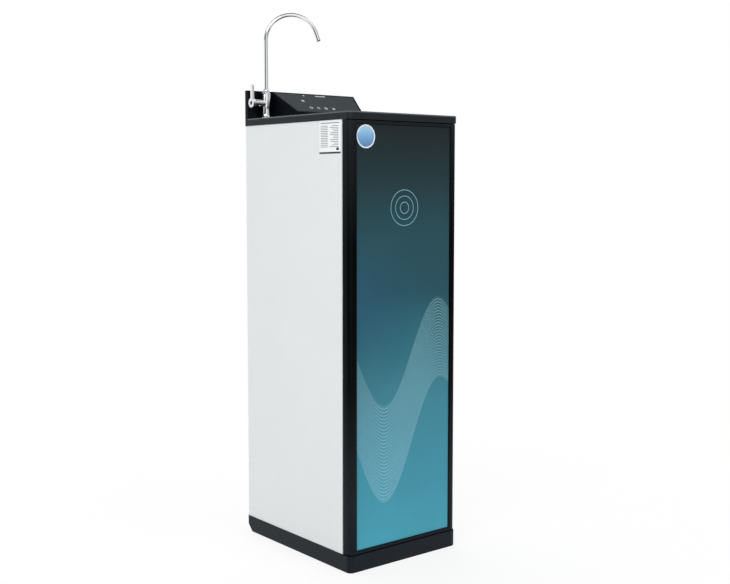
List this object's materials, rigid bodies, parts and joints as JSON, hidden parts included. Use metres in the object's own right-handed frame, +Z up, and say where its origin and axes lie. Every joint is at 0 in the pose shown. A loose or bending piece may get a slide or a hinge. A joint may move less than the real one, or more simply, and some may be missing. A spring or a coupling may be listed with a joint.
{
  "type": "water purifier",
  "caption": "Tall cabinet water purifier with a hinged glass-fronted door, sloped top console with push keys, a lever tap with a swivel gooseneck spout, and filters and a tank inside",
  "frame": {"origin": "on the floor under the middle of the base", "axes": "+X right seen from the front, +Y back, +Z up; the door faces -Y"},
  "size_m": [0.307, 0.3995, 1.2075],
  "materials": {
    "black_plastic": "satin black moulded plastic",
    "console_plastic": "gloss dark grey moulded plastic",
    "fascia_plastic": "gloss black overlay",
    "white_steel": "off-white powder coat",
    "grey_steel": "light grey powder coat",
    "zinc_steel": "zinc-plated sheet",
    "bright_steel": "bright steel",
    "chrome": "polished chrome",
    "brass": "machined brass",
    "rubber": "matt black rubber",
    "door_glass": "back-painted tempered glass, dark teal",
    "liner_plastic": "grey sheet",
    "lens": "milky light-guide plastic",
    "key_plastic": "dark grey plastic",
    "board": "green circuit board",
    "white_plastic": "white plastic",
    "blue_plastic": "blue plastic",
    "motor_metal": "dark grey paint",
    "tank_metal": "white tank paint",
    "tube_plastic": "translucent white tube"
  },
  "bodies": {
    "cabinet": {"base_tray": "black_plastic", "base_pads": "rubber", "left_panel": "white_steel", "right_panel": "white_steel", "rear_panel": "grey_steel", "service_panel": "grey_steel", "panel_screws": "bright_steel", "top_cap": "black_plastic", "hinge_pins": "bright_steel", "magnet_catch": "black_plastic", "console_housing": "console_plastic", "console_fascia": "fascia_plastic", "indicator_lenses": "lens", "control_board": "board", "tap_gasket": "rubber", "tap_body": "chrome", "tap_nut": "brass", "valve_cartridge": "brass", "spout_seal": "rubber", "spout_collar": "chrome", "mid_shelf": "zinc_steel", "shelf_grommet": "rubber", "filter_bracket": "zinc_steel", "filter_heads": "white_plastic", "membrane_housing": "white_plastic", "membrane_cap": "blue_plastic", "post_filters": "white_plastic", "filter_clips": "white_plastic", "pump_motor": "motor_metal", "pump_head": "black_plastic", "pump_feet": "rubber", "solenoid_valve": "white_plastic", "solenoid_coil": "black_plastic", "power_supply": "black_plastic", "power_inlet": "black_plastic", "pressure_tank": "tank_metal", "tank_stand": "black_plastic", "tank_valve": "white_plastic", "inlet_fitting": "white_plastic", "drain_fitting": "white_plastic", "water_tubes": "tube_plastic"},
    "door": {"door_frame": "black_plastic", "door_glass": "door_glass", "door_liner": "liner_plastic", "door_bushes": "black_plastic", "strike_plate": "bright_steel"},
    "spout": {"spout_tube": "chrome", "spout_nozzle": "black_plastic"},
    "lever": {"lever_handle": "chrome", "lever_spindle": "brass", "lever_screw": "black_plastic"},
    "key_one": {"key_1": "key_plastic"},
    "key_two": {"key_2": "key_plastic"},
    "key_three": {"key_3": "key_plastic"},
    "key_four": {"key_4": "key_plastic"},
    "filter_one": {"cartridge_1": "white_plastic"},
    "filter_two": {"cartridge_2": "white_plastic"},
    "filter_three": {"cartridge_3": "white_plastic"},
    "tank_lever": {"tank_valve_lever": "blue_plastic"}
  },
  "joints": [
    {"name": "door_hinge", "type": "hinge", "parent": "cabinet", "child": "door", "pos_m": [0.1385, -0.1825, 0.4925], "axis": [0, 0, 1], "range_deg": [0, 110]},
    {"name": "spout_swivel", "type": "hinge", "parent": "cabinet", "child": "spout", "pos_m": [-0.113, 0.163, 1.027], "axis": [0, 0, 1], "continuous": true},
    {"name": "tap_lever", "type": "hinge", "parent": "cabinet", "child": "lever", "pos_m": [-0.151, 0.163, 1.001], "axis": [1, 0, 0], "range_deg": [0, 90]},
    {"name": "key_one_press", "type": "slide", "parent": "cabinet", "child": "key_one", "axis": [0, 0.568, -0.823], "range_m": [0, 0.0008], "stiffness_N_per_m": 800, "springref_m": -0.0002},
    {"name": "key_two_press", "type": "slide", "parent": "cabinet", "child": "key_two", "axis": [0, 0.568, -0.823], "range_m": [0, 0.0008], "stiffness_N_per_m": 800, "springref_m": -0.0002},
    {"name": "key_three_press", "type": "slide", "parent": "cabinet", "child": "key_three", "axis": [0, 0.568, -0.823], "range_m": [0, 0.0008], "stiffness_N_per_m": 800, "springref_m": -0.0002},
    {"name": "key_four_press", "type": "slide", "parent": "cabinet", "child": "key_four", "axis": [0, 0.568, -0.823], "range_m": [0, 0.0008], "stiffness_N_per_m": 800, "springref_m": -0.0002},
    {"name": "filter_one_twist", "type": "hinge", "parent": "cabinet", "child": "filter_one", "pos_m": [-0.1, -0.089, 0.65], "axis": [0, 0, 1], "range_deg": [0, 90]},
    {"name": "filter_two_twist", "type": "hinge", "parent": "cabinet", "child": "filter_two", "pos_m": [0, -0.089, 0.65], "axis": [0, 0, 1], "range_deg": [0, 90]},
    {"name": "filter_three_twist", "type": "hinge", "parent": "cabinet", "child": "filter_three", "pos_m": [0.1, -0.089, 0.65], "axis": [0, 0, 1], "range_deg": [0, 90]},
    {"name": "tank_valve_turn", "type": "hinge", "parent": "cabinet", "child": "tank_lever", "pos_m": [0, 0.002, 0.375], "axis": [0, 1, 0], "range_deg": [0, 90]}
  ]
}
